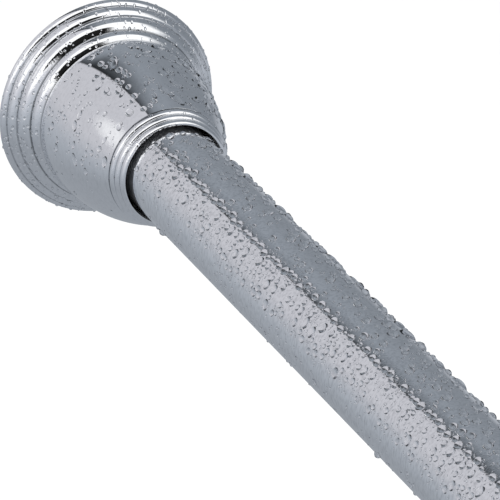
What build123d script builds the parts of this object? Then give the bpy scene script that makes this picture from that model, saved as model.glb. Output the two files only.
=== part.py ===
from build123d import *
from math import cos, radians, sin, tan
import os

os.makedirs("parts", exist_ok=True)

# The rod lies along +X. The wall at the outer tube's end is the plane X = 0, and +Z is up.
# Everything is drawn pushed together and locked, in millimetres.

# Length from wall to wall
closed_length = 1118.0
inner_tube_showing = 142.2

# Tubes
outer_tube_diameter = 25.4
outer_tube_wall = 0.8
inner_tube_diameter = 22.2
inner_tube_wall = 0.7

# Wall pads and feet
pad_thickness = 4.5
pad_skirt_wall = 2.0
pad_skirt_depth = 4.5
pad_groove_count = 3
pad_groove_pitch = 4.0
pad_groove_width = 1.4
pad_groove_depth = 0.9
foot_disc_thickness = 5.0
foot_hub_length = 30.0
foot_hub_wall = 2.4
foot_rib_thickness = 2.0
foot_rib_length = 24.0

# Flanges: a stepped base, a bell with a slight belly, and a ringed neck
flange_diameter = 60.2
flange_height = 48.8
flange_stand_off = 0.5
rim_rise = 1.6
rim_tread = 1.45
rim_round = 1.55
second_rise = 2.3
second_tread = 2.0
second_round = 2.15
third_rise = 3.2
third_tread = 2.6
third_round = 2.6
bead_rise = 2.9
bead_tread = 2.2
bead_round = 2.1
round_step_slope = 8.0
third_slope = 20.0
bead_slope = 30.0
belly_rise = 2.5
belly_bulge = 1.15
neck_length = 5.3
neck_wall = 2.65
neck_groove = 0.45
neck_ring_count = 3
neck_ring_tread = 0.75
neck_ring_bulge = 0.35
lip_land = 0.4
mouth_gap = 1.1
flange_wall = 1.9
flange_seat_wall = 1.9

# Collar on the outer tube's open end
collar_wall = 0.75
collar_grip_length = 14.0
collar_lip = 2.2
collar_round = 0.45

# Twist lock
spindle_diameter = 8.0
thread_pitch = 2.0
turns_to_release = 2.0
nut_height = 5.0
nut_across_flats = 13.0
cone_length = 18.0
cone_large_diameter = 18.4
cone_small_diameter = 12.4
cone_stands_out = 3.0
key_width = 2.6
key_length = 10.0
key_inset = 1.2
sleeve_length = 30.0
sleeve_slot_depth = 22.0
sleeve_slot_count = 4
ring_wire = 2.2
ring_setback = 4.4
thrust_washer_thickness = 0.8
thrust_washer_diameter = 16.0
thrust_collar_diameter = 13.0
thrust_collar_length = 3.0
shank_across_flats = 7.0
shank_corner = 0.6
head_diameter = 18.0
head_length = 4.0
lock_clearance = 7.0

# Spring
spring_travel = 25.0
spring_length = 80.0
spring_diameter = 17.0
spring_wire = 1.8
spring_coils = 9
spring_washer_thickness = 1.0
spring_stub_length = 6.4
guide_rim_length = 3.0
guide_bush_length = 18.0
seat_length = 14.0
seat_spigot_length = 8.0
seat_core_diameter = 12.5
seat_core_depth = 8.4
rolled_groove_depth = 0.7
rolled_groove_length = 3.6

# Fits, each a clearance on one side
press_gap = 0.05
running_gap = 0.1
thread_gap = 0.05
grip_gap = 0.05
key_gap = 0.1
seat_gap = 0.3
end_gap = 1.0
lead_chamfer = 0.8

# Sizes that follow from those above
outer_tube_radius = outer_tube_diameter / 2
outer_tube_bore = outer_tube_radius - outer_tube_wall
inner_tube_radius = inner_tube_diameter / 2
inner_tube_bore = inner_tube_radius - inner_tube_wall
flange_radius = flange_diameter / 2
bell_foot_radius = flange_radius - rim_tread - second_tread - third_tread - bead_tread
bell_foot_height = rim_rise + second_rise + third_rise + bead_rise
belly_radius = bell_foot_radius + belly_bulge
belly_height = bell_foot_height + belly_rise
lip_radius = outer_tube_radius + mouth_gap + lip_land
neck_radius = outer_tube_radius + mouth_gap + neck_wall
neck_height = flange_height - neck_length
neck_ring_length = neck_length / neck_ring_count
throat_radius = neck_radius - flange_wall
throat_height = neck_height - flange_wall
seat_radius = bell_foot_radius - flange_seat_wall
pad_radius = seat_radius - seat_gap
foot_disc_radius = pad_radius - pad_skirt_wall - press_gap
tube_start = pad_thickness + foot_disc_thickness
spindle_radius = spindle_diameter / 2
thread_hole_radius = spindle_radius + thread_gap
cone_travel = thread_pitch * turns_to_release

# Places along the rod, from the outer tube's wall inwards
spindle_start = tube_start + foot_hub_length + lock_clearance
nut_start = spindle_start + end_gap
cone_start = nut_start + nut_height + cone_travel + end_gap
cone_end = cone_start + cone_length
sleeve_start = cone_start + cone_stands_out
sleeve_end = sleeve_start + sleeve_length
thrust_collar_start = sleeve_end + thrust_washer_thickness
thrust_collar_end = thrust_collar_start + thrust_collar_length
guide_rim_start = thrust_collar_end + spring_travel + end_gap
inner_tube_start = guide_rim_start + guide_rim_length
inner_tube_end = closed_length - tube_start
outer_tube_mouth = inner_tube_end - inner_tube_showing
head_start = inner_tube_start + guide_bush_length
head_end = head_start + head_length
spring_start = head_end + spring_washer_thickness
seat_start = spring_start + spring_length
seat_end = seat_start + seat_length
rolled_groove_at = seat_end + seat_gap + rolled_groove_length / 2

# Outer tube
with BuildPart() as outer_tube:
    with BuildSketch(Plane.YZ.offset(tube_start)):
        Circle(outer_tube_radius)
        Circle(outer_tube_bore, mode=Mode.SUBTRACT)
    extrude(amount=outer_tube_mouth - tube_start)
outer_tube.part.label = "outer_tube"
export_step(outer_tube.part, "parts/outer_tube.step")

# Inner tube, with the groove rolled into it behind the spring seat
with BuildPart() as inner_tube:
    with BuildSketch(Plane.XY):
        with BuildLine():
            groove_from = rolled_groove_at - rolled_groove_length / 2
            groove_to = rolled_groove_at + rolled_groove_length / 2
            for skin_radius in (inner_tube_radius, inner_tube_bore):
                groove_floor = skin_radius - rolled_groove_depth
                Line((inner_tube_start, skin_radius), (groove_from, skin_radius))
                ThreePointArc(
                    (groove_from, skin_radius),
                    (rolled_groove_at, groove_floor),
                    (groove_to, skin_radius),
                )
                Line((groove_to, skin_radius), (inner_tube_end, skin_radius))
            Line((inner_tube_start, inner_tube_bore), (inner_tube_start, inner_tube_radius))
            Line((inner_tube_end, inner_tube_bore), (inner_tube_end, inner_tube_radius))
        make_face()
    revolve(axis=Axis.X)
inner_tube.part.label = "inner_tube"
export_step(inner_tube.part, "parts/inner_tube.step")

# Collar that clips over the wall of the outer tube's open end and guides the inner tube
with BuildPart() as mouth_collar:
    with BuildSketch(Plane.XY):
        collar_start = outer_tube_mouth - collar_grip_length
        collar_front = outer_tube_mouth + collar_lip
        collar_bore = inner_tube_radius + running_gap
        with Locations((collar_start, collar_bore)):
            Rectangle(
                collar_front - collar_start,
                outer_tube_radius + press_gap + collar_wall - collar_bore,
                align=(Align.MIN, Align.MIN),
            )
        with Locations((collar_start, outer_tube_bore - press_gap)):
            Rectangle(
                collar_grip_length,
                outer_tube_wall + 2 * press_gap,
                align=(Align.MIN, Align.MIN),
                mode=Mode.SUBTRACT,
            )
    revolve(axis=Axis.X)
    outside_edges = mouth_collar.edges().filter_by(GeomType.CIRCLE).group_by(SortBy.RADIUS)[-1]
    fillet(outside_edges, collar_round)
mouth_collar.part.label = "mouth_collar"
export_step(mouth_collar.part, "parts/mouth_collar.step")

# Steps of a flange's base from the rim inwards: rise, tread, edge round and slope of the tread
flange_steps = (
    (rim_rise, rim_tread, rim_round, round_step_slope),
    (second_rise, second_tread, second_round, round_step_slope),
    (third_rise, third_tread, third_round, third_slope),
    (bead_rise, bead_tread, bead_round, bead_slope),
)

# The two wall ends are alike but for the tube each one closes
wall_ends = {
    "outer": (0.0, 1, outer_tube_radius, outer_tube_bore),
    "inner": (closed_length, -1, inner_tube_radius, inner_tube_bore),
}
for end_name, (wall_x, inward, tube_radius, tube_bore) in wall_ends.items():
    along_rod = Plane(origin=(wall_x, 0, 0), x_dir=(inward, 0, 0), z_dir=(0, 0, 1))

    # Rubber pad: a flat face with ring grooves, and a skirt round the foot's disc
    with BuildPart() as pad:
        with BuildSketch(along_rod):
            Rectangle(pad_thickness, pad_radius, align=(Align.MIN, Align.MIN))
            with Locations((pad_thickness, pad_radius)):
                Rectangle(pad_skirt_depth, pad_skirt_wall, align=(Align.MIN, Align.MAX))
        revolve(axis=Axis.X)
        with BuildSketch(along_rod):
            for groove in range(1, pad_groove_count + 1):
                with Locations((0, pad_radius - groove * pad_groove_pitch)):
                    Rectangle(pad_groove_depth, pad_groove_width, align=(Align.MIN, Align.CENTER))
        revolve(axis=Axis.X, mode=Mode.SUBTRACT)
    pad.part.label = end_name + "_pad"
    export_step(pad.part, "parts/" + end_name + "_pad.step")

    # Foot: a disc under the pad and a cored hub, stiffened by crossed ribs, in the tube's end
    hub_radius = tube_bore - press_gap
    with BuildPart() as foot:
        with BuildSketch(along_rod):
            with Locations((pad_thickness, 0)):
                Rectangle(foot_disc_thickness, foot_disc_radius, align=(Align.MIN, Align.MIN))
            with Locations((tube_start, hub_radius)):
                Rectangle(foot_hub_length, foot_hub_wall, align=(Align.MIN, Align.MAX))
        revolve(axis=Axis.X)
        with BuildSketch(Plane(origin=(wall_x + inward * tube_start, 0, 0), z_dir=(inward, 0, 0))):
            Rectangle(2 * hub_radius - foot_hub_wall, foot_rib_thickness)
            Rectangle(foot_rib_thickness, 2 * hub_radius - foot_hub_wall)
        extrude(amount=foot_rib_length)
        hub_rims = foot.edges().filter_by(GeomType.CIRCLE).group_by(SortBy.RADIUS)[-2]
        chamfer(hub_rims.sort_by(Axis((wall_x, 0, 0), (inward, 0, 0)))[-1], lead_chamfer)
    foot.part.label = end_name + "_foot"
    export_step(foot.part, "parts/" + end_name + "_foot.step")

    # Flange: one turned section, from the wall to the mouth and back along the inside
    mouth_radius = tube_radius + mouth_gap
    seat_from = bell_foot_height - flange_wall
    seat_to = pad_thickness + pad_skirt_depth + flange_stand_off
    base_at = wall_x + inward * flange_stand_off
    from_base = Plane(origin=(base_at, 0, 0), x_dir=(inward, 0, 0), z_dir=(0, 0, 1))
    with BuildPart() as flange:
        with BuildSketch(from_base):
            with BuildLine():
                Line((0, flange_radius - flange_wall), (0, flange_radius))
                step_foot = 0.0
                step_radius = flange_radius
                for rise, tread, edge_round, slope_degrees in flange_steps:
                    slope = radians(slope_degrees)
                    step_top = step_foot + rise
                    next_radius = step_radius - tread
                    tread_edge = step_radius - edge_round * (1 - sin(slope))
                    tread_foot = step_top - (tread_edge - next_radius) * tan(slope)
                    riser_top = tread_foot - edge_round * cos(slope)
                    Line((step_foot, step_radius), (riser_top, step_radius))
                    TangentArc((riser_top, step_radius), (tread_foot, tread_edge), tangent=(1, 0))
                    Line((tread_foot, tread_edge), (step_top, next_radius))
                    step_foot = step_top
                    step_radius = next_radius
                TangentArc(
                    (belly_height, belly_radius),
                    (bell_foot_height, bell_foot_radius),
                    tangent=(-1, 0),
                )
                TangentArc(
                    (belly_height, belly_radius),
                    (neck_height, neck_radius),
                    tangent=(1, 0),
                )
                Line((neck_height, neck_radius), (neck_height, neck_radius - neck_groove))
                for ring in range(neck_ring_count):
                    ring_foot = neck_height + ring * neck_ring_length
                    ring_root = neck_radius - neck_groove - ring * neck_ring_tread
                    last_ring = ring == neck_ring_count - 1
                    next_root = lip_radius if last_ring else ring_root - neck_ring_tread
                    ThreePointArc(
                        (ring_foot, ring_root),
                        (ring_foot + neck_ring_length / 2, ring_root + neck_ring_bulge),
                        (ring_foot + neck_ring_length, next_root),
                    )
                Line((flange_height, lip_radius), (flange_height, mouth_radius))
                Line((flange_height, mouth_radius), (throat_height, mouth_radius))
                Line((throat_height, mouth_radius), (throat_height, throat_radius))
                TangentArc(
                    (belly_height, belly_radius - flange_wall),
                    (throat_height, throat_radius),
                    tangent=(1, 0),
                )
                Line((belly_height, belly_radius - flange_wall), (seat_to, seat_radius))
                Line((seat_to, seat_radius), (seat_from, seat_radius))
                Line((seat_from, seat_radius), (0, flange_radius - flange_wall))
            make_face()
        revolve(axis=Axis.X)
    flange.part.label = end_name + "_flange"
    export_step(flange.part, "parts/" + end_name + "_flange.step")

# Spindle: screw, thrust collar, square shank, head and the stub that centres the spring
with BuildPart() as lock_spindle:
    with BuildSketch(Plane.YZ.offset(spindle_start)):
        Circle(spindle_radius)
    extrude(amount=thrust_collar_end - spindle_start)
    chamfer(lock_spindle.edges().filter_by(GeomType.CIRCLE).sort_by(Axis.X)[0], lead_chamfer)
    with BuildSketch(Plane.YZ.offset(thrust_collar_start)):
        Circle(thrust_collar_diameter / 2)
    extrude(amount=thrust_collar_length)
    with BuildSketch(Plane.YZ.offset(thrust_collar_end)):
        RectangleRounded(shank_across_flats, shank_across_flats, shank_corner)
    extrude(amount=head_start - thrust_collar_end)
    with BuildSketch(Plane.YZ.offset(head_start)):
        Circle(head_diameter / 2)
    extrude(amount=head_length)
    with BuildSketch(Plane.YZ.offset(head_end)):
        Circle(spindle_radius)
    extrude(amount=spring_stub_length)
    chamfer(lock_spindle.edges().filter_by(GeomType.CIRCLE).sort_by(Axis.X)[-1], lead_chamfer)
lock_spindle.part.label = "lock_spindle"
export_step(lock_spindle.part, "parts/lock_spindle.step")

# Nut that keeps the cone on the screw
with BuildPart() as end_nut:
    with BuildSketch(Plane.YZ.offset(nut_start)):
        RegularPolygon(nut_across_flats / 2, 6, major_radius=False)
        Circle(thread_hole_radius, mode=Mode.SUBTRACT)
    extrude(amount=nut_height)
end_nut.part.label = "end_nut"
export_step(end_nut.part, "parts/end_nut.step")

# Cone on the screw, with two keys that run in the sleeve's slots
cone_large_radius = cone_large_diameter / 2
cone_small_radius = cone_small_diameter / 2
sleeve_radius = outer_tube_bore - grip_gap
with BuildPart() as lock_cone:
    with BuildSketch(Plane.XY):
        Polygon(
            (cone_start, thread_hole_radius),
            (cone_start, cone_large_radius),
            (cone_end, cone_small_radius),
            (cone_end, thread_hole_radius),
            align=None,
        )
    revolve(axis=Axis.X)
    with BuildSketch(Plane.YZ.offset(cone_start)):
        with PolarLocations((spindle_radius + sleeve_radius) / 2, 2, start_angle=90):
            Rectangle(sleeve_radius - spindle_radius - 2 * key_inset, key_width)
    extrude(amount=key_length)
lock_cone.part.label = "lock_cone"
export_step(lock_cone.part, "parts/lock_cone.step")

# Sleeve: tapered inside to the cone, slotted into fingers, grooved outside for the drag ring
cone_slope = (cone_large_radius - cone_small_radius) / cone_length
taper_start_radius = cone_large_radius - cone_slope * cone_stands_out + grip_gap
taper_end = cone_end + end_gap
taper_end_radius = cone_small_radius - cone_slope * end_gap + grip_gap
sleeve_hole_radius = spindle_radius + running_gap
ring_radius = sleeve_radius - ring_wire / 2
ring_at = sleeve_end - ring_setback
with BuildPart() as grip_sleeve:
    with BuildSketch(Plane.XY):
        Polygon(
            (sleeve_start, taper_start_radius),
            (sleeve_start, sleeve_radius),
            (sleeve_end, sleeve_radius),
            (sleeve_end, sleeve_hole_radius),
            (taper_end, sleeve_hole_radius),
            (taper_end, taper_end_radius),
            align=None,
        )
        with Locations((ring_at, ring_radius - ring_wire / 2 - press_gap)):
            Rectangle(
                ring_wire + 2 * press_gap,
                ring_wire + outer_tube_wall,
                align=(Align.CENTER, Align.MIN),
                mode=Mode.SUBTRACT,
            )
    revolve(axis=Axis.X)
    with BuildSketch(Plane.YZ.offset(sleeve_start)):
        with PolarLocations(sleeve_radius, sleeve_slot_count, start_angle=90):
            Rectangle(2 * (sleeve_radius - spindle_radius), key_width + 2 * key_gap)
    extrude(amount=sleeve_slot_depth, mode=Mode.SUBTRACT)
grip_sleeve.part.label = "grip_sleeve"
export_step(grip_sleeve.part, "parts/grip_sleeve.step")

# Rubber ring in the sleeve's groove
with BuildPart() as drag_ring:
    with BuildSketch(Plane.XY):
        with Locations((ring_at, ring_radius)):
            Circle(ring_wire / 2)
    revolve(axis=Axis.X)
drag_ring.part.label = "drag_ring"
export_step(drag_ring.part, "parts/drag_ring.step")

# Washer between the sleeve and the spindle's thrust collar
with BuildPart() as thrust_washer:
    with BuildSketch(Plane.YZ.offset(sleeve_end)):
        Circle(thrust_washer_diameter / 2)
        Circle(spindle_radius + press_gap, mode=Mode.SUBTRACT)
    extrude(amount=thrust_washer_thickness)
thrust_washer.part.label = "thrust_washer"
export_step(thrust_washer.part, "parts/thrust_washer.step")

# Bush in the inner tube's inboard end, with a square hole that turns the spindle
with BuildPart() as guide_bush:
    with BuildSketch(Plane.YZ.offset(guide_rim_start)):
        Circle(outer_tube_bore - running_gap)
    extrude(amount=guide_rim_length)
    with BuildSketch(Plane.YZ.offset(inner_tube_start)):
        Circle(inner_tube_bore - press_gap)
    extrude(amount=guide_bush_length)
    with BuildSketch(Plane.YZ.offset(guide_rim_start)):
        Rectangle(shank_across_flats + 2 * running_gap, shank_across_flats + 2 * running_gap)
    extrude(amount=guide_rim_length + guide_bush_length, mode=Mode.SUBTRACT)
    chamfer(guide_bush.edges().filter_by(GeomType.CIRCLE).sort_by(Axis.X)[0], lead_chamfer)
guide_bush.part.label = "guide_bush"
export_step(guide_bush.part, "parts/guide_bush.step")

# Washer between the spindle's head and the spring
with BuildPart() as spring_washer:
    with BuildSketch(Plane.YZ.offset(head_end)):
        Circle(head_diameter / 2)
        Circle(spindle_radius + press_gap, mode=Mode.SUBTRACT)
    extrude(amount=spring_washer_thickness)
spring_washer.part.label = "spring_washer"
export_step(spring_washer.part, "parts/spring_washer.step")

# Compression spring, ground flat at both ends
spring_radius = (spring_diameter - spring_wire) / 2
with BuildPart() as push_spring:
    with BuildLine() as coil:
        Helix(
            spring_length / spring_coils,
            spring_length,
            spring_radius,
            center=(spring_start, 0, 0),
            direction=(1, 0, 0),
        )
    with BuildSketch(Plane(origin=coil.line @ 0, z_dir=coil.line % 0)):
        Circle(spring_wire / 2)
    sweep(is_frenet=True)
    split(bisect_by=Plane.YZ.offset(spring_start), keep=Keep.TOP)
    split(bisect_by=Plane.YZ.offset(seat_start), keep=Keep.BOTTOM)
push_spring.part.label = "push_spring"
export_step(push_spring.part, "parts/push_spring.step")

# Seat behind the spring, with a spigot that centres it
with BuildPart() as spring_seat:
    with BuildSketch(Plane.YZ.offset(seat_start)):
        Circle(inner_tube_bore - press_gap)
    extrude(amount=seat_length)
    with BuildSketch(Plane.YZ.offset(seat_start)):
        Circle(spring_diameter / 2 - spring_wire - seat_gap)
    extrude(amount=-seat_spigot_length)
    chamfer(spring_seat.edges().filter_by(GeomType.CIRCLE).sort_by(Axis.X)[0], lead_chamfer)
    with BuildSketch(Plane.YZ.offset(seat_end)):
        Circle(seat_core_diameter / 2)
    extrude(amount=-seat_core_depth, mode=Mode.SUBTRACT)
spring_seat.part.label = "spring_seat"
export_step(spring_seat.part, "parts/spring_seat.step")
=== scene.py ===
import math
import random

import bmesh
import bpy
from mathutils import Matrix, Quaternion, Vector


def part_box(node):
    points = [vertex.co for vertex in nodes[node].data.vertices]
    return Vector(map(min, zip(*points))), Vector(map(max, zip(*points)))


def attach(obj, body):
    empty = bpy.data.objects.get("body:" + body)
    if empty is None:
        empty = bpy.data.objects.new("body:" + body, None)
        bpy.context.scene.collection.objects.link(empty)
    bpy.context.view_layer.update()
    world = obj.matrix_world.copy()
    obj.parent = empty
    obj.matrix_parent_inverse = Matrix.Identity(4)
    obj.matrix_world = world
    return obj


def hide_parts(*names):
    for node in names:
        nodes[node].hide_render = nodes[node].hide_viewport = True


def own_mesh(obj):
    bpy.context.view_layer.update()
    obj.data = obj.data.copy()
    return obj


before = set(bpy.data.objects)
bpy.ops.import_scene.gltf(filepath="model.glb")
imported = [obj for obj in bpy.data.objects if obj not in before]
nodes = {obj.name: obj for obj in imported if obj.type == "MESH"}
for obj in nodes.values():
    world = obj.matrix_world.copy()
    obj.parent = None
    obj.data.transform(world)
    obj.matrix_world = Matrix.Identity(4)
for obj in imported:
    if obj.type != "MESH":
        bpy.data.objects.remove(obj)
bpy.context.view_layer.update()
mm = 0.001
print("frame loaded,", len(nodes), "nodes")


# Small helpers for node trees and meshes

def addNode(tree, kind, inputs, **settings):
    node = tree.nodes.new("ShaderNode" + kind)
    for key, value in settings.items():
        setattr(node, key, value)
    for socket, value in inputs.items():
        if isinstance(value, bpy.types.NodeSocket):
            tree.links.new(value, node.inputs[socket])
        else:
            node.inputs[socket].default_value = value
    return node


def mathNode(tree, operation, first, second=0.0):
    return addNode(tree, "Math", {0: first, 1: second}, operation=operation).outputs[0]


def vectorNode(tree, operation, first, second):
    return addNode(tree, "VectorMath", {0: first, 1: second}, operation=operation).outputs


def ramp(tree, value, limits, top=1.0, curve="SMOOTHSTEP"):  # from 0 to top between the limits
    return addNode(tree, "MapRange", {0: value, 1: limits[0], 2: limits[1], 3: 0, 4: top},
                   interpolation_type=curve).outputs[0]


def mixColours(tree, factor, first, second):
    mix = addNode(tree, "Mix", {0: factor, 6: first, 7: second}, data_type="RGBA")
    return mix.outputs[2]


def grey(level, tint=(1, 1, 1)):
    return tuple(level * part for part in tint) + (1.0,)


def toMesh(bm, name):
    mesh = bpy.data.meshes.new(name)
    bm.to_mesh(mesh)
    bm.free()
    return mesh


def addObject(name, data):
    thing = bpy.data.objects.new(name, data)
    bpy.context.scene.collection.objects.link(thing)
    return thing


def makePiece(bm, name, body, material, sharpAngle=30):
    for edge in bm.edges:
        edge.smooth = edge.calc_face_angle(0) < math.radians(sharpAngle)
    for face in bm.faces:
        face.smooth = True
    mesh = toMesh(bm, name)
    mesh.materials.append(material)
    piece = addObject(name, mesh)
    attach(piece, body)
    return piece


def cutFlat(bm, place, outward):  # takes off what lies past a plane and closes the cut
    geometry = bm.verts[:] + bm.edges[:] + bm.faces[:]
    cut = bmesh.ops.bisect_plane(bm, geom=geometry, plane_co=place, plane_no=outward,
                                 clear_outer=True)
    rim = [item for item in cut["geom_cut"] if isinstance(item, bmesh.types.BMEdge)]
    bmesh.ops.contextual_create(bm, geom=rim)


# Shared effects

def startGroup(name, inputs, outputs):
    tree = bpy.data.node_groups.new(name, "ShaderNodeTree")
    for way, sockets in (("INPUT", inputs), ("OUTPUT", outputs)):
        for socket in sockets:
            tree.interface.new_socket(socket, in_out=way, socket_type="NodeSocketFloat")
    return tree, addNode(tree, "TexCoord", {}).outputs["Object"]


def endGroup(tree, results):
    out = tree.nodes.new("NodeGroupOutput").inputs
    for socket, value in results.items():
        tree.links.new(value, out[socket])
    return tree


filmLook = {"hazeDetail": 4, "haze": (0.4, 0.7), "bead": (0.5, 0.1),
            "mistDetail": 1, "mist": (0.42, 0.72), "mistStretch": (1.0, 1.0, 0.4)}


def makeFilmGroup():  # fine wet bloom on polished metal
    look = filmLook
    inputs = ("Streak Scale", "Bead Scale", "Mist Scale", "Smooth", "Hazy")
    tree, place = startGroup("wetFilm", inputs, ("Roughness", "Height", "Mist"))
    given = tree.nodes.new("NodeGroupInput").outputs
    haze = addNode(tree, "TexNoise", {"Vector": place, "Scale": given["Streak Scale"],
                                      "Detail": look["hazeDetail"]}).outputs[0]
    beads = addNode(tree, "TexVoronoi", {"Vector": place, "Scale": given["Bead Scale"]})
    bead = ramp(tree, beads.outputs["Distance"], look["bead"])
    patch = ramp(tree, haze, look["haze"])
    hanging = vectorNode(tree, "MULTIPLY", place, look["mistStretch"])[0]
    specks = addNode(tree, "TexNoise", {"Vector": hanging, "Scale": given["Mist Scale"],
                                        "Detail": look["mistDetail"]}).outputs[0]
    span = mathNode(tree, "SUBTRACT", given["Hazy"], given["Smooth"])
    rough = mathNode(tree, "ADD", mathNode(tree, "MULTIPLY", patch, span), given["Smooth"])
    return endGroup(tree, {"Roughness": rough, "Height": mathNode(tree, "MULTIPLY", bead, patch),
                           "Mist": ramp(tree, specks, look["mist"], curve="LINEAR")})


grainLook = {"coarseDetail": 5, "fineDetail": 2, "fineness": 6.0, "mottle": (0.3, 0.7),
             "bumpStrength": 0.5}


def makeGrainGroup():  # uneven skin of mouldings, rubber and plated steel
    look = grainLook
    tree, place = startGroup("skinGrain", ("Scale", "Stretch"), ("Mottle", "Height"))
    given = tree.nodes.new("NodeGroupInput").outputs
    along = addNode(tree, "CombineXYZ", {0: given["Stretch"], 1: 1.0, 2: 1.0}).outputs[0]
    drawn = vectorNode(tree, "MULTIPLY", place, along)[0]
    coarse = addNode(tree, "TexNoise", {"Vector": drawn, "Scale": given["Scale"],
                                        "Detail": look["coarseDetail"]}).outputs[0]
    fineScale = mathNode(tree, "MULTIPLY", given["Scale"], look["fineness"])
    fine = addNode(tree, "TexNoise", {"Vector": drawn, "Scale": fineScale,
                                      "Detail": look["fineDetail"]}).outputs[0]
    return endGroup(tree, {"Mottle": ramp(tree, coarse, look["mottle"], curve="LINEAR"),
                           "Height": fine})


cornerShadeLook = {  # painted shade in the flange's turned corners: mm along the flange from its base, mm from the axis, mm of width, depth of shade
    "corners": ((1.6, 28.65, 0.4, 0.45), (3.9, 26.65, 0.45, 0.5), (7.1, 24.05, 0.5, 0.8),
                (10.0, 21.85, 0.9, 0.95), (43.5, 16.0, 0.5, 0.8), (45.27, 15.25, 0.35, 0.5),
                (47.03, 14.5, 0.35, 0.5)),
    "core": 0.2, "rodMiddle": 559.0, "baseFromMiddle": 558.5,
}


def makeCornerShadeGroup():  # painted shade: thin dark lines in the turned corners of a flange
    look = cornerShadeLook
    tree, place = startGroup("paintedCornerShade", (), ("Shade",))
    part = addNode(tree, "SeparateXYZ", {0: place}).outputs
    fromMiddle = mathNode(tree, "SUBTRACT", part["X"], look["rodMiddle"] * mm)
    along = mathNode(tree, "SUBTRACT", look["baseFromMiddle"] * mm,
                     mathNode(tree, "ABSOLUTE", fromMiddle))
    fromAxis = addNode(tree, "CombineXYZ", {1: part["Y"], 2: part["Z"]}).outputs[0]
    radius = addNode(tree, "VectorMath", {0: fromAxis}, operation="LENGTH").outputs["Value"]
    spot = addNode(tree, "CombineXYZ", {0: along, 1: radius}).outputs[0]
    shade = 0.0
    for cornerAlong, cornerRadius, width, depth in look["corners"]:
        corner = (cornerAlong * mm, cornerRadius * mm, 0)
        away = vectorNode(tree, "DISTANCE", spot, corner)["Value"]
        line = ramp(tree, away, (width * mm, look["core"] * width * mm), top=depth)
        shade = mathNode(tree, "MAXIMUM", line, shade)
    return endGroup(tree, {"Shade": shade})


filmGroup = makeFilmGroup()
grainGroup = makeGrainGroup()
cornerShadeGroup = makeCornerShadeGroup()


# Finishes

def startMaterial(name, **sockets):
    material = bpy.data.materials.new(name)
    material.use_nodes = True
    shader = material.node_tree.nodes["Principled BSDF"]
    for socket, value in sockets.items():
        shader.inputs[socket.replace("_", " ")].default_value = value
    return material, material.node_tree, shader


def addBump(tree, shader, height, distance, strength):
    bump = addNode(tree, "Bump", {"Height": height, "Distance": distance, "Strength": strength})
    tree.links.new(bump.outputs[0], shader.inputs["Normal"])


chromeLook = {  # clear and misty colours of the metal
    "tube": ((0.89, 0.90, 0.92, 1.0), (0.71, 0.72, 0.74, 1.0)),
    "flange": ((0.87, 0.88, 0.90, 1.0), (0.80, 0.81, 0.83, 1.0)),
    # painted shade colour for the flange's turned corners
    "corner": (0.20, 0.21, 0.22, 1.0),
    "film": {"Streak Scale": 60.0, "Bead Scale": 1900.0, "Mist Scale": 1500.0,
             "Smooth": 0.025, "Hazy": 0.06},
    "beadHeight": 0.05 * mm, "beadStrength": 0.25,
}


def chrome(name, colour, misty):
    look = chromeLook
    material, tree, shader = startMaterial(name, Metallic=1.0)
    film = addNode(tree, "Group", look["film"], node_tree=filmGroup).outputs
    tree.links.new(mixColours(tree, film["Mist"], colour, misty), shader.inputs["Base Color"])
    tree.links.new(film["Roughness"], shader.inputs["Roughness"])
    addBump(tree, shader, film["Height"], look["beadHeight"], look["beadStrength"])
    return material


# paints shade into the flange's turned corners by darkening its base colour
def shadeCorners(material, dark):
    tree = material.node_tree
    base = tree.nodes["Principled BSDF"].inputs["Base Color"]
    corners = addNode(tree, "Group", {}, node_tree=cornerShadeGroup).outputs
    tree.links.new(mixColours(tree, corners["Shade"], base.links[0].from_socket, dark), base)


def grained(name, light, dark, scale, rough, height, stretch=1.0, **sockets):
    material, tree, shader = startMaterial(name, **sockets)
    grain = addNode(tree, "Group", {"Scale": scale, "Stretch": stretch},
                    node_tree=grainGroup).outputs
    colour = mixColours(tree, grain["Mottle"], light + (1.0,), dark + (1.0,))
    tree.links.new(colour, shader.inputs["Base Color"])
    roughness = addNode(tree, "MapRange", {0: grain["Mottle"], 3: rough[0], 4: rough[1]}).outputs[0]
    tree.links.new(roughness, shader.inputs["Roughness"])
    addBump(tree, shader, grain["Height"], height, grainLook["bumpStrength"])
    return material


tubeChrome = chrome("tubeChrome", *chromeLook["tube"])
flangeChrome = chrome("flangeChrome", *chromeLook["flange"])
shadeCorners(flangeChrome, chromeLook["corner"])
innerChrome = chrome("innerTubeChrome", *chromeLook["tube"])

flangeInside = grained("flangeInside", light=(0.50, 0.51, 0.52), dark=(0.42, 0.43, 0.44),
                       scale=120.0, rough=(0.40, 0.55), height=0.02 * mm, Metallic=0.3)
padRubber = grained("padRubber", light=(0.76, 0.76, 0.74), dark=(0.66, 0.66, 0.64), scale=140.0,
                    rough=(0.62, 0.85), height=0.06 * mm, Specular_IOR_Level=0.4)
footPlastic = grained("footPlastic", light=(0.87, 0.87, 0.85), dark=(0.81, 0.81, 0.78), scale=60.0,
                      rough=(0.38, 0.52), height=0.02 * mm)
collarPlastic = grained("collarPlastic", light=(0.81, 0.82, 0.83), dark=(0.75, 0.76, 0.77),
                        scale=90.0, rough=(0.22, 0.36), height=0.015 * mm, stretch=0.4,
                        Coat_Weight=0.3)
lockPlastic = grained("lockPlastic", light=(0.89, 0.88, 0.83), dark=(0.80, 0.78, 0.72), scale=80.0,
                      rough=(0.40, 0.58), height=0.02 * mm)
lockSteel = grained("lockSteel", light=(0.66, 0.67, 0.68), dark=(0.52, 0.53, 0.53), scale=220.0,
                    rough=(0.22, 0.40), height=0.02 * mm, stretch=0.15, Metallic=1.0)
springSteel = grained("springSteel", light=(0.45, 0.46, 0.48), dark=(0.33, 0.34, 0.36), scale=400.0,
                      rough=(0.28, 0.45), height=0.02 * mm, Metallic=1.0)
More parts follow.
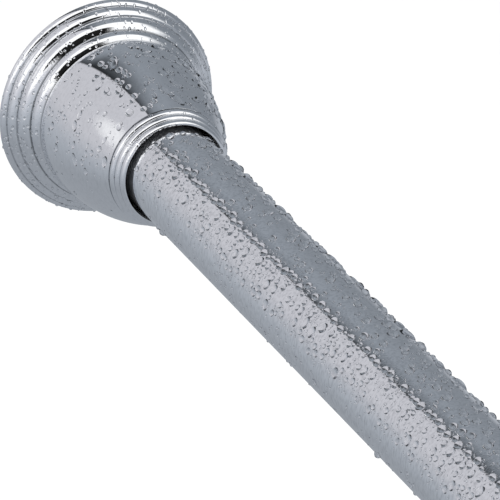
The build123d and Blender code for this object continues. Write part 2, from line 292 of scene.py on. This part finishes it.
ringRubber = grained("ringRubber", light=(0.055, 0.055, 0.055), dark=(0.035, 0.035, 0.035),
                     scale=300.0, rough=(0.60, 0.80), height=0.03 * mm, Specular_IOR_Level=0.4)

water = startMaterial("water", Base_Color=(1, 1, 1, 1), Roughness=0.0, IOR=1.333,
                      Transmission_Weight=1.0)[0]

finishes = {
    "outer_pad": padRubber, "inner_pad": padRubber,
    "outer_foot": footPlastic, "inner_foot": footPlastic,
    "mouth_collar": collarPlastic,
    "grip_sleeve": lockPlastic, "lock_cone": lockPlastic,
    "guide_bush": lockPlastic, "spring_seat": lockPlastic,
    "end_nut": lockSteel, "thrust_washer": lockSteel, "spring_washer": lockSteel,
    "drag_ring": ringRubber,
}
for nodeName, finish in finishes.items():
    nodes[nodeName].material_slots[0].material = finish
print("finishes made and given to", len(finishes), "nodes")


# Turned pieces: an outline drawn in X and Z, spun about the rod's axis

def lineTo(bm, pen, x, r):
    pen = bmesh.ops.extrude_vert_indiv(bm, verts=[pen])["verts"][0]
    pen.co = (x, 0, r)
    return pen


def drawLines(bm, points):  # returns the ends of a new run of lines
    first = pen = bm.verts.new((points[0][0], 0, points[0][1]))
    for x, r in points[1:]:
        pen = lineTo(bm, pen, x, r)
    return first, pen


def arcTo(bm, pen, centre, end, steps):
    middle = Vector((centre[0], 0, centre[1]))
    before = pen.co - middle
    after = Vector((end[0], 0, end[1])) - middle
    angle = before.xz.angle_signed(after.xz)
    spun = bmesh.ops.spin(bm, geom=[pen], cent=middle, axis=(0, 1, 0), angle=angle, steps=steps)
    return spun["geom_last"][0]


def circleThrough(a, b, c):  # centre of the circle through three outline points
    ab, ac = b - a, c - a
    cross = 2 * (ab.x * ac.y - ab.y * ac.x)
    across = Vector((ac.y * ab.length_squared - ab.y * ac.length_squared,
                     ab.x * ac.length_squared - ac.x * ab.length_squared))
    return a + across / cross


def spinAll(bm, steps, weld=1e-7):
    bmesh.ops.spin(bm, geom=bm.verts[:] + bm.edges[:], cent=(0, 0, 0), axis=(1, 0, 0),
                   angle=2 * math.pi, steps=steps, use_merge=True)
    bmesh.ops.remove_doubles(bm, verts=bm.verts[:], dist=weld)
    bmesh.ops.recalc_face_normals(bm, faces=bm.faces[:])


def spinOutline(bm, pen, first, steps):
    bm.edges.new((pen, first))
    spinAll(bm, steps)


tubeLook = {"outerWall": 0.8 * mm, "innerWall": 0.7 * mm, "grooveDepth": 0.7 * mm,
            "groove": (240.6 * mm, 244.2 * mm), "grooveSteps": 8, "around": 160}


def makeOuterTube():
    low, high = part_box("outer_tube")
    bore = high.z - tubeLook["outerWall"]
    bm = bmesh.new()
    first, pen = drawLines(bm, ((low.x, high.z), (high.x, high.z), (high.x, bore), (low.x, bore)))
    spinOutline(bm, pen, first, tubeLook["around"])
    piece = makePiece(bm, "outer_tube_polished", "outer_tube", tubeChrome)
    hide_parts("outer_tube")


def makeInnerTube():
    low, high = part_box("inner_tube")
    grooveFrom, grooveTo = tubeLook["groove"]
    grooveAt = (grooveFrom + grooveTo) / 2
    bm = bmesh.new()
    first = pen = bm.verts.new((low.x, 0, high.z))
    for radius, stops in ((high.z, (low.x, grooveFrom, grooveTo, high.x)),
                          (high.z - tubeLook["innerWall"], (high.x, grooveTo, grooveFrom, low.x))):
        if radius != high.z:
            pen = lineTo(bm, pen, stops[0], radius)
        pen = lineTo(bm, pen, stops[1], radius)
        floor = Vector((grooveAt, radius - tubeLook["grooveDepth"]))
        centre = circleThrough(Vector((stops[1], radius)), floor, Vector((stops[2], radius)))
        pen = arcTo(bm, pen, centre, (stops[2], radius), tubeLook["grooveSteps"])
        pen = lineTo(bm, pen, stops[3], radius)
    spinOutline(bm, pen, first, tubeLook["around"])
    piece = makePiece(bm, "inner_tube_polished", "inner_tube", innerChrome)
    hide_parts("inner_tube")


springLook = {"wire": 1.8 * mm, "coils": 9, "travel": 25 * mm, "wireSides": 16, "stepsPerCoil": 36,
              "sharpAngle": 50}


def makeSpring():  # its ends are cut flat, as a ground coil is
    look = springLook
    low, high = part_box("push_spring")
    length = high.x - low.x
    steps = look["coils"] * look["stepsPerCoil"]
    bm = bmesh.new()
    bmesh.ops.create_circle(bm, segments=look["wireSides"], radius=look["wire"] / 2,
                            matrix=Matrix.Rotation(math.radians(90), 4, "X"))
    bmesh.ops.translate(bm, verts=bm.verts[:], vec=(low.x, 0, high.z - look["wire"] / 2))
    bmesh.ops.spin(bm, geom=bm.verts[:] + bm.edges[:], axis=(1, 0, 0), dvec=(length / steps, 0, 0),
                   angle=2 * math.pi * look["coils"], steps=steps)
    bmesh.ops.holes_fill(bm, edges=bm.edges[:], sides=0)
    bmesh.ops.recalc_face_normals(bm, faces=bm.faces[:])
    cutFlat(bm, (low.x, 0, 0), (-1, 0, 0))
    cutFlat(bm, (high.x, 0, 0), (1, 0, 0))
    piece = makePiece(bm, "push_spring_coil", "inner_tube", springSteel, look["sharpAngle"])
    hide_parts("push_spring")
    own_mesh(piece)


spindleLook = {  # the head stands a hair off the bush that it bears on
    "radius": 4 * mm, "chamfer": 0.8 * mm, "around": 48,
    "pitch": 2 * mm, "threadDepth": 1.1 * mm, "crest": 0.3 * mm, "threadEnd": 78 * mm,
    "threadWeld": 1e-6, "collarLength": 3 * mm, "collarRadius": 6.5 * mm,
    "shankFlats": 7 * mm, "shankCorner": 0.6 * mm, "cornerSteps": 4,
    "headLength": 3.98 * mm, "headRadius": 9 * mm,
}


def makeThread(start):  # a V outline that climbs one pitch in its turn, so its ends meet
    look = spindleLook
    root = look["radius"] - look["threadDepth"]
    bm = bmesh.new()
    x = start - look["pitch"] - look["crest"] / 2
    pen = bm.verts.new((x, 0, look["radius"]))
    while x < look["threadEnd"] + look["pitch"]:
        pen = lineTo(bm, pen, x + look["crest"], look["radius"])
        pen = lineTo(bm, pen, x + look["pitch"] / 2, root)
        pen = lineTo(bm, pen, x + look["pitch"] / 2 + look["crest"], root)
        x += look["pitch"]
        pen = lineTo(bm, pen, x, look["radius"])
    bmesh.ops.spin(bm, geom=bm.verts[:] + bm.edges[:], axis=(1, 0, 0), angle=2 * math.pi,
                   dvec=(look["pitch"] / look["around"], 0, 0), steps=look["around"])
    bmesh.ops.remove_doubles(bm, verts=bm.verts[:], dist=look["threadWeld"])
    cutFlat(bm, (start, 0, 0), (-1, 0, 0))
    cutFlat(bm, (look["threadEnd"], 0, 0), (1, 0, 0))
    bmesh.ops.recalc_face_normals(bm, faces=bm.faces[:])
    for vert in bm.verts:
        limit = look["radius"] - max(0, start + look["chamfer"] - vert.co.x)
        radius = vert.co.yz.length
        if radius > limit:
            vert.co.yz *= limit / radius
    return toMesh(bm, "thread")


def addShank(bm, start, end):  # square bar with rounded corners
    look = spindleLook
    bar = bmesh.ops.create_cube(bm, size=1)["verts"]
    bmesh.ops.scale(bm, verts=bar, vec=(end - start, look["shankFlats"], look["shankFlats"]))
    bmesh.ops.translate(bm, verts=bar, vec=((end + start) / 2, 0, 0))
    corners = [edge for vert in bar for edge in vert.link_edges
               if edge.verts[0] == vert and edge.calc_length() > 2 * look["shankFlats"]]
    bmesh.ops.bevel(bm, geom=corners, offset=look["shankCorner"], segments=look["cornerSteps"],
                    profile=0.5, affect="EDGES")


def makeSpindle():
    look = spindleLook
    low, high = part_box("lock_spindle")
    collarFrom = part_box("thrust_washer")[1].x
    collarTo = collarFrom + look["collarLength"]
    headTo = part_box("spring_washer")[0].x
    headFrom = headTo - look["headLength"]
    bm = bmesh.new()
    drawLines(bm, ((look["threadEnd"], 0), (look["threadEnd"], look["radius"]),
                   (collarFrom, look["radius"]), (collarFrom, look["collarRadius"]),
                   (collarTo, look["collarRadius"]), (collarTo, 0)))
    drawLines(bm, ((headFrom, 0), (headFrom, look["headRadius"]),
                   (headTo, look["headRadius"]), (headTo, look["radius"]),
                   (high.x - look["chamfer"], look["radius"]),
                   (high.x, look["radius"] - look["chamfer"]), (high.x, 0)))
    spinAll(bm, look["around"])
    addShank(bm, collarTo, headFrom)
    thread = makeThread(low.x)
    bm.from_mesh(thread)
    bpy.data.meshes.remove(thread)
    piece = makePiece(bm, "lock_spindle_threaded", "lock_spindle", lockSteel)
    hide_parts("lock_spindle")


flangeLook = {
    "wall": 1.9 * mm, "seatWall": 1.9 * mm, "seatDepth": 9.5 * mm,
    "steps": (  # from the rim inwards: rise, tread, edge round and slope of the tread
        (1.6 * mm, 1.45 * mm, 1.55 * mm, 8), (2.3 * mm, 2.0 * mm, 2.15 * mm, 8),
        (3.2 * mm, 2.6 * mm, 2.6 * mm, 20), (2.9 * mm, 2.2 * mm, 2.1 * mm, 30)),
    "bellyRise": 2.5 * mm, "bellyBulge": 1.15 * mm,
    "neckLength": 5.3 * mm, "neckGroove": 0.45 * mm, "neckWall": 2.65 * mm,
    "ringCount": 3, "ringTread": 0.75 * mm, "ringBulge": 0.35 * mm,
    "mouthGap": 1.1 * mm, "lipLand": 0.4 * mm,
    "roundSteps": 8, "bellSteps": 32, "around": 192,
    "plainOutward": 0.05, "plainForward": 0.3,
}


def flangeSizes(node):  # the outline's main places, measured from the base plane
    look = flangeLook
    low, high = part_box(node)
    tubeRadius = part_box("outer_tube")[1].z
    size = {"radius": high.z, "height": high.x - low.x}
    size["footHeight"] = sum(step[0] for step in look["steps"])
    size["footRadius"] = size["radius"] - sum(step[1] for step in look["steps"])
    size["bellyHeight"] = size["footHeight"] + look["bellyRise"]
    size["bellyRadius"] = size["footRadius"] + look["bellyBulge"]
    size["neckHeight"] = size["height"] - look["neckLength"]
    size["neckRadius"] = tubeRadius + look["mouthGap"] + look["neckWall"]
    size["lipRadius"] = tubeRadius + look["mouthGap"] + look["lipLand"]
    return size


def tangentRadius(alongX, alongR):  # radius of the arc that leaves its start along the rod
    return (alongX ** 2 + alongR ** 2) / (2 * alongR)


def drawSteps(bm, pen, at, size):
    top, radius = 0.0, size["radius"]
    for rise, tread, edgeRound, slopeDegrees in flangeLook["steps"]:
        slope = math.radians(slopeDegrees)
        top += rise
        treadEdge = radius - edgeRound * (1 - math.sin(slope))
        treadFoot = top - (treadEdge - radius + tread) * math.tan(slope)
        roundFrom = treadFoot - edgeRound * math.cos(slope)
        pen = lineTo(bm, pen, at(roundFrom), radius)
        pen = arcTo(bm, pen, (at(roundFrom), radius - edgeRound), (at(treadFoot), treadEdge),
                    flangeLook["roundSteps"])
        radius -= tread
        pen = lineTo(bm, pen, at(top), radius)
    return pen


def drawBell(bm, pen, at, size):
    look = flangeLook
    bellyAt = at(size["bellyHeight"])
    lower = tangentRadius(look["bellyRise"], look["bellyBulge"])
    pen = arcTo(bm, pen, (bellyAt, size["bellyRadius"] - lower), (bellyAt, size["bellyRadius"]),
                look["roundSteps"])
    upper = tangentRadius(size["neckHeight"] - size["bellyHeight"],
                          size["bellyRadius"] - size["neckRadius"])
    pen = arcTo(bm, pen, (bellyAt, size["bellyRadius"] - upper),
                (at(size["neckHeight"]), size["neckRadius"]), look["bellSteps"])
    return lineTo(bm, pen, at(size["neckHeight"]), size["neckRadius"] - look["neckGroove"])


def drawRings(bm, pen, at, size):
    look = flangeLook
    ringLength = look["neckLength"] / look["ringCount"]
    for ring in range(look["ringCount"]):
        foot = size["neckHeight"] + ring * ringLength
        root = size["neckRadius"] - look["neckGroove"] - ring * look["ringTread"]
        lastRing = ring == look["ringCount"] - 1
        nextRoot = size["lipRadius"] if lastRing else root - look["ringTread"]
        crown = Vector((at(foot + ringLength / 2), root + look["ringBulge"]))
        end = Vector((at(foot + ringLength), nextRoot))
        centre = circleThrough(Vector((at(foot), root)), crown, end)
        pen = arcTo(bm, pen, centre, end, look["roundSteps"])
    return pen


def drawInside(bm, pen, at, size, mouthRadius):
    look = flangeLook
    bellyAt = at(size["bellyHeight"])
    throat = size["neckHeight"] - look["wall"]
    throatRadius = size["neckRadius"] - look["wall"]
    innerBelly = size["bellyRadius"] - look["wall"]
    seatRadius = size["footRadius"] - look["seatWall"]
    pen = lineTo(bm, pen, at(size["height"]), mouthRadius)
    pen = lineTo(bm, pen, at(throat), mouthRadius)
    pen = lineTo(bm, pen, at(throat), throatRadius)
    inside = tangentRadius(throat - size["bellyHeight"], innerBelly - throatRadius)
    pen = arcTo(bm, pen, (bellyAt, innerBelly - inside), (bellyAt, innerBelly), look["bellSteps"])
    pen = lineTo(bm, pen, at(look["seatDepth"]), seatRadius)
    pen = lineTo(bm, pen, at(size["footHeight"] - look["wall"]), seatRadius)
    return lineTo(bm, pen, at(0), size["radius"] - look["wall"])


def makeFlange(node, tubeNode, inward, wallX):  # returns the outline of its outer side
    look = flangeLook
    size = flangeSizes(node)

    def at(along):
        return wallX + inward * along

    bm = bmesh.new()
    first = pen = bm.verts.new((at(0), 0, size["radius"]))
    for draw in (drawSteps, drawBell, drawRings):
        pen = draw(bm, pen, at, size)
    outline = [vert.co.xz for vert in bm.verts]
    pen = drawInside(bm, pen, at, size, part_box(tubeNode)[1].z + look["mouthGap"])
    spinOutline(bm, pen, first, look["around"])
    for face in bm.faces:
        middle = face.calc_center_median()
        outward = face.normal.dot(Vector((0, middle.y, middle.z)).normalized())
        forward = face.normal.x * inward
        face.material_index = int(outward < look["plainOutward"] and forward < look["plainForward"])
    piece = makePiece(bm, node + "_polished", node, flangeChrome)
    piece.data.materials.append(flangeInside)
    weighted = piece.modifiers.new("evenShading", "WEIGHTED_NORMAL")
    weighted.keep_sharp = True
    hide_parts(node)
    return outline


makeOuterTube()
makeInnerTube()
makeSpring()
makeSpindle()
outlines = {
    "outer_flange": makeFlange("outer_flange", "outer_tube", 1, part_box("outer_flange")[0].x),
    "inner_flange": makeFlange("inner_flange", "inner_tube", -1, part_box("inner_flange")[1].x),
}
print("tubes, spindle and flanges turned, spring wound")


# Water drops

dropLook = {
    "seed": 11, "templates": 6, "contactAngle": 58, "sunk": 0.22, "lean": 0.12,
    "lobes": 0.05, "thirdLobe": 0.6, "sharpAngle": 50,
    "sides": {"large": (12, 12), "medium": (12, 10), "fine": (6, 7)},
    "tries": 12, "turn": 0.5, "shortest": 0.95, "levelSlope": 0.2,
    "tubeCell": 4.2 * mm, "flangeCell": 3.6 * mm,
}


def makeDropShape(rng, sides, rows):  # a cap of unit foot radius, with its foot below the metal
    look = dropLook
    contact = math.radians(look["contactAngle"])
    ball = 1 / math.sin(contact)
    bm = bmesh.new()
    bmesh.ops.create_uvsphere(bm, u_segments=sides, v_segments=rows, radius=ball)
    bmesh.ops.translate(bm, verts=bm.verts[:], vec=(0, 0, -ball * math.cos(contact)))
    cutFlat(bm, (0, 0, -look["sunk"]), (0, 0, -1))
    lean = rng.uniform(-look["lean"], look["lean"])
    turns = [rng.uniform(0, 2 * math.pi) for lobe in range(2)]
    for vert in bm.verts:
        angle = math.atan2(vert.co.y, vert.co.x)
        wave = math.cos(2 * angle + turns[0]) + look["thirdLobe"] * math.cos(3 * angle + turns[1])
        spread = 1 + look["lobes"] * wave + lean * vert.co.x
        vert.co.x *= spread
        vert.co.y *= spread
    bmesh.ops.recalc_face_normals(bm, faces=bm.faces[:])
    for face in bm.faces:
        face.smooth = True
    return toMesh(bm, "dropShape")


class DropField:
    # Keeps drops from running into each other on a surface unrolled to u and v
    def __init__(self, cell, around):
        self.cell = cell
        self.around = around
        self.taken = {}

    def free(self, u, v, radius, gap):
        column, row = int(u // self.cell), int(v // self.cell)
        rowCount = max(1, int(self.around // self.cell))
        for i in range(column - 1, column + 2):
            for j in range(row - 1, row + 2):
                for u2, v2, radius2 in self.taken.get((i, j % rowCount), ()):
                    aside = abs(v - v2)
                    aside = min(aside, self.around - aside)
                    if math.hypot(u - u2, aside) < (radius + radius2) * gap:
                        return False
        self.taken.setdefault((column, row % rowCount), []).append((u, v, radius))
        return True


def dropMatrix(place, outward, downhill, halfLength, halfWidth, height):
    side = outward.cross(downhill).normalized()
    turn = Matrix((downhill, side, outward)).transposed().to_4x4()
    return Matrix.Translation(place) @ turn @ Matrix.Diagonal((halfLength, halfWidth, height, 1))


def addDrop(bm, shape, matrix):
    copy = shape.copy()
    copy.transform(matrix)
    bm.from_mesh(copy)
    bpy.data.meshes.remove(copy)


def downhillOn(outward):  # the way water runs on a face, or along the rod where it lies level
    down = Vector((0, 0, -1))
    slope = down - outward * down.dot(outward)
    if slope.length < dropLook["levelSlope"]:
        slope = Vector((1, 0, 0)) - outward * outward.x
    return slope.normalized()


def tubePoint(radius):
    def point(u, v):
        angle = v / radius
        outward = Vector((0, math.sin(angle), math.cos(angle)))
        return Vector((u, 0, 0)) + outward * radius, outward
    return point


def outlinePoint(outline, inward):
    ends = [0.0]
    for before, after in zip(outline, outline[1:]):
        ends.append(ends[-1] + (after - before).length)
    meanRadius = sum(place.y for place in outline) / len(outline)

    def point(u, v):
        index = max(n for n in range(len(ends) - 1) if ends[n] <= u)
        before, after = outline[index], outline[index + 1]
        run = (after - before).normalized()
        place = before + run * (u - ends[index])
        around = Vector((0, math.sin(v / meanRadius), math.cos(v / meanRadius)))
        outward = (Vector((-run.y, 0, 0)) + around * run.x) * inward
        return Vector((place.x, 0, 0)) + around * place.y, outward
    return point, ends, meanRadius


def scatter(bm, rng, field, point, uRange, look, share=1.0):
    small, big, lean = look["sizes"]
    wetFrom, wetTo, fade = look["wet"]
    turn = dropLook["turn"]
    count = round(look["count"] * share)
    radii = [small + (big - small) * rng.random() ** lean for n in range(count)]
    placed = 0
    for radius in sorted(radii, reverse=True):
        for attempt in range(dropLook["tries"]):
            u = rng.uniform(*uRange)
            angle = rng.uniform(wetFrom - fade, wetTo + fade)
            if rng.random() < max(wetFrom - angle, angle - wetTo) / fade:
                continue
            v = angle % 360 / 360 * field.around
            if not field.free(u, v, radius, look["gap"]):
                continue
            place, outward = point(u, v)
            downhill = downhillOn(outward)
            downhill.rotate(Matrix.Rotation(rng.uniform(-turn, turn), 3, outward))
            length = radius * rng.uniform(dropLook["shortest"], look["longest"])
            height = min(look["tallest"], radius * rng.uniform(*look["proud"])) / capRise
            shape = rng.choice(dropShapes[look["kind"]])
            addDrop(bm, shape, dropMatrix(place, outward, downhill, length, radius, height))
            placed += 1
            break
    return placed


capRise = math.tan(math.radians(dropLook["contactAngle"] / 2))
dropRng = random.Random(dropLook["seed"])
dropShapes = {kind: [makeDropShape(dropRng, *sides) for n in range(dropLook["templates"])]
              for kind, sides in dropLook["sides"].items()}

dropKinds = {
    "large": {"proud": (0.45, 0.58), "tallest": 0.88 * mm, "longest": 1.25, "gap": 0.97},
    "medium": {"proud": (0.55, 0.75), "tallest": 0.8 * mm, "longest": 1.15, "gap": 1.0},
    "fine": {"proud": (0.55, 0.75), "tallest": 0.4 * mm, "longest": 1.2, "gap": 1.05},
}


def drops(kind, count, sizes, wet, **changes):
    # sizes: least and greatest radius in mm and the lean to small ones
    # wet: from and to in degrees from the top, and how far the edge fades
    small, big, lean = sizes
    look = dict(dropKinds[kind], kind=kind, count=count, wet=wet)
    look.update(changes, sizes=(small * mm, big * mm, lean))
    return look


tubeDrops = (
    drops("large", 120, (1.4, 2.0, 1.2), (38, 62, 6), proud=(0.4, 0.5)),
    drops("large", 200, (0.95, 1.3, 1.0), (-29, -26, 2), proud=(0.72, 0.86), tallest=0.95 * mm,
          longest=1.06),
    drops("large", 680, (0.8, 1.4, 1.4), (-22, 70, 10), proud=(0.64, 0.8), tallest=0.95 * mm,
          longest=1.12),
    drops("large", 230, (0.85, 1.4, 1.6), (-70, -40, 8), proud=(0.5, 0.64), longest=1.15),
    drops("large", 12, (0.9, 1.2, 1.0), (-138, -120, 4), proud=(0.7, 0.8)),
    drops("medium", 190, (0.45, 0.8, 1.0), (-33, -25, 2), proud=(0.7, 0.85)),
    drops("medium", 520, (0.55, 0.95, 1.1), (-66, -38, 10)),
    drops("medium", 760, (0.45, 0.9, 1.2), (-22, 75, 8)),
    drops("medium", 60, (0.4, 0.9, 1.2), (100, 260, 10)),
    drops("fine", 420, (0.22, 0.4, 1.0), (-31, -23, 3)),
    drops("fine", 1900, (0.2, 0.4, 1.2), (-70, -34, 15)),
    drops("fine", 2300, (0.2, 0.42, 1.2), (-110, 90, 20)),
)
# The inner tube stays dry where the spring takes it into the collar
tubeRuns = {"outer_tube": (51 * mm, 950 * mm, 1.0), "inner_tube": (1002 * mm, 1066 * mm, 0.07)}


def wetTube(node):
    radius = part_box(node)[1].z
    low, high, share = tubeRuns[node]
    field = DropField(dropLook["tubeCell"], 2 * math.pi * radius)
    for kind in dropKinds:
        bm = bmesh.new()
        placed = sum(scatter(bm, dropRng, field, tubePoint(radius), (low, high), look, share)
                     for look in tubeDrops if look["kind"] == kind)
        makePiece(bm, node + "_" + kind + "_drops", node, water, dropLook["sharpAngle"])
        print(node, kind, "drops", placed)


flangeDrops = {
    "bell": (drops("medium", 16, (0.6, 1.1, 1.5), (-34, -20, 4), longest=1.5),
             drops("medium", 44, (0.38, 0.95, 1.6), (-80, -40, 20), longest=2.2, proud=(0.5, 0.65)),
             drops("medium", 120, (0.42, 1.1, 1.4), (-16, 95, 10), longest=2.6, proud=(0.5, 0.7)),
             drops("fine", 180, (0.2, 0.42, 1.2), (-100, 110, 40), longest=2.0)),
    "steps": (drops("fine", 700, (0.2, 0.5, 1.4), (-170, 170, 10), longest=1.7),),
    "neck": (drops("fine", 60, (0.2, 0.6, 1.5), (-80, 100, 40), longest=1.3),),
}
flangeMargins = {"stepsEnd": 0.8 * mm, "bellStart": 3 * mm, "bellEnd": 1 * mm, "slack": 0.01 * mm}


def wetFlange(node, inward):
    outline = outlines[node]
    size, margin = flangeSizes(node), flangeMargins
    point, ends, meanRadius = outlinePoint(outline, inward)

    def endAt(height):  # length of the outline up to this height over the base
        return next(end for end, place in zip(ends, outline)
                    if abs(place.x - outline[0].x) > height - margin["slack"])

    foot, neck = endAt(size["footHeight"]), endAt(size["neckHeight"])
    runs = {"steps": (0, foot - margin["stepsEnd"]),
            "bell": (foot + margin["bellStart"], neck - margin["bellEnd"]),
            "neck": (neck, ends[-1])}
    field = DropField(dropLook["flangeCell"], 2 * math.pi * meanRadius)
    bm = bmesh.new()
    placed = sum(scatter(bm, dropRng, field, point, runs[area], look)
                 for area, looks in flangeDrops.items() for look in looks)
    makePiece(bm, node + "_drops", node, water, dropLook["sharpAngle"])
    print(node, "drops", placed)


wetTube("outer_tube")
wetTube("inner_tube")
wetFlange("outer_flange", 1)
wetFlange("inner_flange", -1)
for shapes in dropShapes.values():
    for shape in shapes:
        bpy.data.meshes.remove(shape)


# Studio: pale floor, a soft lamp, and the panels that the polished metal mirrors

studio = {
    "panelEdge": (0.203, -0.971, -0.076), "edgeWidth": 0.03,
    "slate": ((-1.0, 0.26), (-0.7, 0.28), (-0.5, 0.32), (-0.33, 0.34), (-0.17, 0.27),
              (-0.07, 0.15), (-0.01, 0.06)),
    "slateTint": (0.90, 0.99, 1.11),
    "dip": (-0.5, -0.1), "dipAhead": (-0.83, -0.77), "dipEnds": (-0.2, -0.7), "dipDepth": 0.62,
    "low": (0.0, -0.3),
    "lilac": 0.57, "lilacRise": 0.38, "lilacFloor": 0.36, "lilacCap": 0.63,
    "lilacTint": (0.98, 0.98, 1.04), "lowTint": (0.91, 0.98, 1.08), "lowFade": (0.2, -0.4),
    "lilacAhead": (-0.4, 0.4), "lilacAbove": (-0.45, 0.05), "lilacLift": 0.16,
    "glow": (-0.226, -0.845, 0.485), "glowFrom": 17, "glowTo": 3,
    "glowShare": 0.55, "glowLevel": 1.2,
    "box": {"X": (0.15, 0.4), "Z": (0.04, 0.2), "Y": (0.85, 0.6)}, "boxLevel": 1.3,
    "flags": (((0.93, 0.03, 0.36), 20, 14), ((0.837, -0.347, 0.424), 15, 10)),
    "flagLevel": 0.015,
    "plainLevel": 0.55, "backdrop": 1.0,
}


def slatePanel(tree, part, across):  # the dark panel, with a darker patch ahead of the flange
    look = studio
    bands = addNode(tree, "ValToRGB", {0: mathNode(tree, "ADD", across, 1.0)})
    stops = bands.color_ramp.elements
    while len(stops) < len(look["slate"]):
        stops.new(0.5)
    for stop, (position, level) in zip(stops, look["slate"]):
        stop.position = position + 1
        stop.color = grey(level, look["slateTint"])
    dip = mathNode(tree, "MULTIPLY", ramp(tree, across, look["dip"]),
                   ramp(tree, part["X"], look["dipAhead"]))
    dip = mathNode(tree, "MULTIPLY", dip, ramp(tree, part["X"], look["dipEnds"]))
    dip = mathNode(tree, "MULTIPLY", dip, look["dipDepth"])
    return mixColours(tree, dip, bands.outputs["Color"], grey(0.0))


def lilacPanel(tree, part):  # the pale panel, brighter upwards and cooler low down
    look = studio
    ahead = mathNode(tree, "MULTIPLY", ramp(tree, part["X"], look["lilacAhead"]),
                     ramp(tree, part["Z"], look["lilacAbove"]))
    lift = mathNode(tree, "MULTIPLY", ahead, look["lilacLift"])
    level = mathNode(tree, "ADD", mathNode(tree, "MULTIPLY", part["Z"], look["lilacRise"]),
                     look["lilac"])
    level = mathNode(tree, "MAXIMUM", level, look["lilacFloor"])
    level = mathNode(tree, "MINIMUM", level, look["lilacCap"])
    level = mathNode(tree, "ADD", level, lift)
    tint = mixColours(tree, ramp(tree, part["Z"], look["lowFade"]), grey(1.0, look["lilacTint"]),
                      grey(1.0, look["lowTint"]))
    return addNode(tree, "VectorMath", {0: tint, "Scale": level}, operation="SCALE").outputs[0]


def makeWorld():
    look = studio
    world = bpy.data.worlds.new("studio")
    bpy.context.scene.world = world
    world.use_nodes = True
    tree = world.node_tree
    way = addNode(tree, "TexCoord", {}).outputs["Generated"]
    part = addNode(tree, "SeparateXYZ", {0: way}).outputs
    across = vectorNode(tree, "DOT_PRODUCT", way, look["panelEdge"])["Value"]

    def near(direction, wide, narrow):
        closeness = vectorNode(tree, "DOT_PRODUCT", way, direction)["Value"]
        return ramp(tree, closeness, [math.cos(math.radians(angle)) for angle in (wide, narrow)])

    half = look["edgeWidth"] / 2
    side = mathNode(tree, "MAXIMUM", ramp(tree, across, (-half, half)),
                    ramp(tree, part["Z"], look["low"]))
    panels = mixColours(tree, side, slatePanel(tree, part, across), lilacPanel(tree, part))
    glow = mathNode(tree, "MULTIPLY", near(look["glow"], look["glowFrom"], look["glowTo"]),
                    look["glowShare"])
    panels = mixColours(tree, glow, panels, grey(look["glowLevel"]))
    box = 1.0
    for axis, limits in look["box"].items():
        box = mathNode(tree, "MULTIPLY", ramp(tree, part[axis], limits), box)
    panels = mixColours(tree, box, panels, grey(look["boxLevel"]))
    for direction, wide, narrow in look["flags"]:
        panels = mixColours(tree, near(direction, wide, narrow), panels, grey(look["flagLevel"]))
    rays = addNode(tree, "LightPath", {}).outputs
    mirrored = mathNode(tree, "MAXIMUM", rays["Is Glossy Ray"], rays["Is Transmission Ray"])
    light = mixColours(tree, mirrored, grey(look["plainLevel"]), panels)
    shown = mixColours(tree, rays["Is Camera Ray"], light, grey(look["backdrop"]))
    tree.links.new(shown, tree.nodes["Background"].inputs["Color"])


floorLook = {"size": 6.0, "middle": (0.5, 0, -0.45), "colour": 0.85, "roughness": 0.9, "lift": 0.42}


def makeFloor():
    look = floorLook
    bm = bmesh.new()
    bmesh.ops.create_grid(bm, x_segments=1, y_segments=1, size=look["size"])
    bmesh.ops.translate(bm, verts=bm.verts[:], vec=look["middle"])
    mesh = toMesh(bm, "floor")
    floor = addObject("floor", mesh)
    material, tree, shader = startMaterial("paleFloor", Base_Color=grey(look["colour"]),
                                           Roughness=look["roughness"], Emission_Strength=1.0)
    rays = addNode(tree, "LightPath", {}).outputs
    lift = mixColours(tree, rays["Is Camera Ray"], grey(0.0), grey(look["lift"]))
    tree.links.new(lift, shader.inputs["Emission Color"])
    mesh.materials.append(material)
    floor.visible_glossy = False
    floor.visible_transmission = False


lampLook = {"towards": (0.1, -0.35, 1.0), "aim": (0.5, 0, 0), "distance": 2.2, "size": 1.6,
            "power": 26.0}


def makeLamp():
    look = lampLook
    lamp = bpy.data.lights.new("softKey", "AREA")
    lamp.shape = "DISK"
    lamp.size = look["size"]
    lamp.energy = look["power"]
    holder = addObject("softKey", lamp)
    back = Vector(look["towards"]).normalized()
    holder.location = Vector(look["aim"]) + back * look["distance"]
    holder.rotation_mode = "QUATERNION"
    holder.rotation_quaternion = (-back).to_track_quat("-Z", "Y")
    holder.visible_camera = False
    holder.visible_glossy = False
    holder.visible_transmission = False


cameraLook = {"aim": (99.1 * mm, 0, 0), "distance": 1.321, "azimuth": 67.5, "elevation": 25.06,
              "roll": -0.48, "lens": 381.6, "nearest": 0.1}


def makeCamera():
    look = cameraLook
    azimuth, elevation = math.radians(look["azimuth"]), math.radians(look["elevation"])
    level = math.cos(elevation)
    back = Vector((math.sin(azimuth) * level, -math.cos(azimuth) * level, math.sin(elevation)))
    camera = addObject("camera", bpy.data.cameras.new("camera"))
    camera.data.lens = look["lens"]
    camera.data.clip_start = look["nearest"]
    camera.location = Vector(look["aim"]) + back * look["distance"]
    camera.rotation_mode = "QUATERNION"
    roll = Quaternion((0, 0, 1), math.radians(look["roll"]))
    camera.rotation_quaternion = (-back).to_track_quat("-Z", "Y") @ roll
    bpy.context.scene.camera = camera


makeWorld()
makeFloor()
makeLamp()
makeCamera()
bpy.context.scene.view_settings.view_transform = "Standard"
print("studio and camera set")
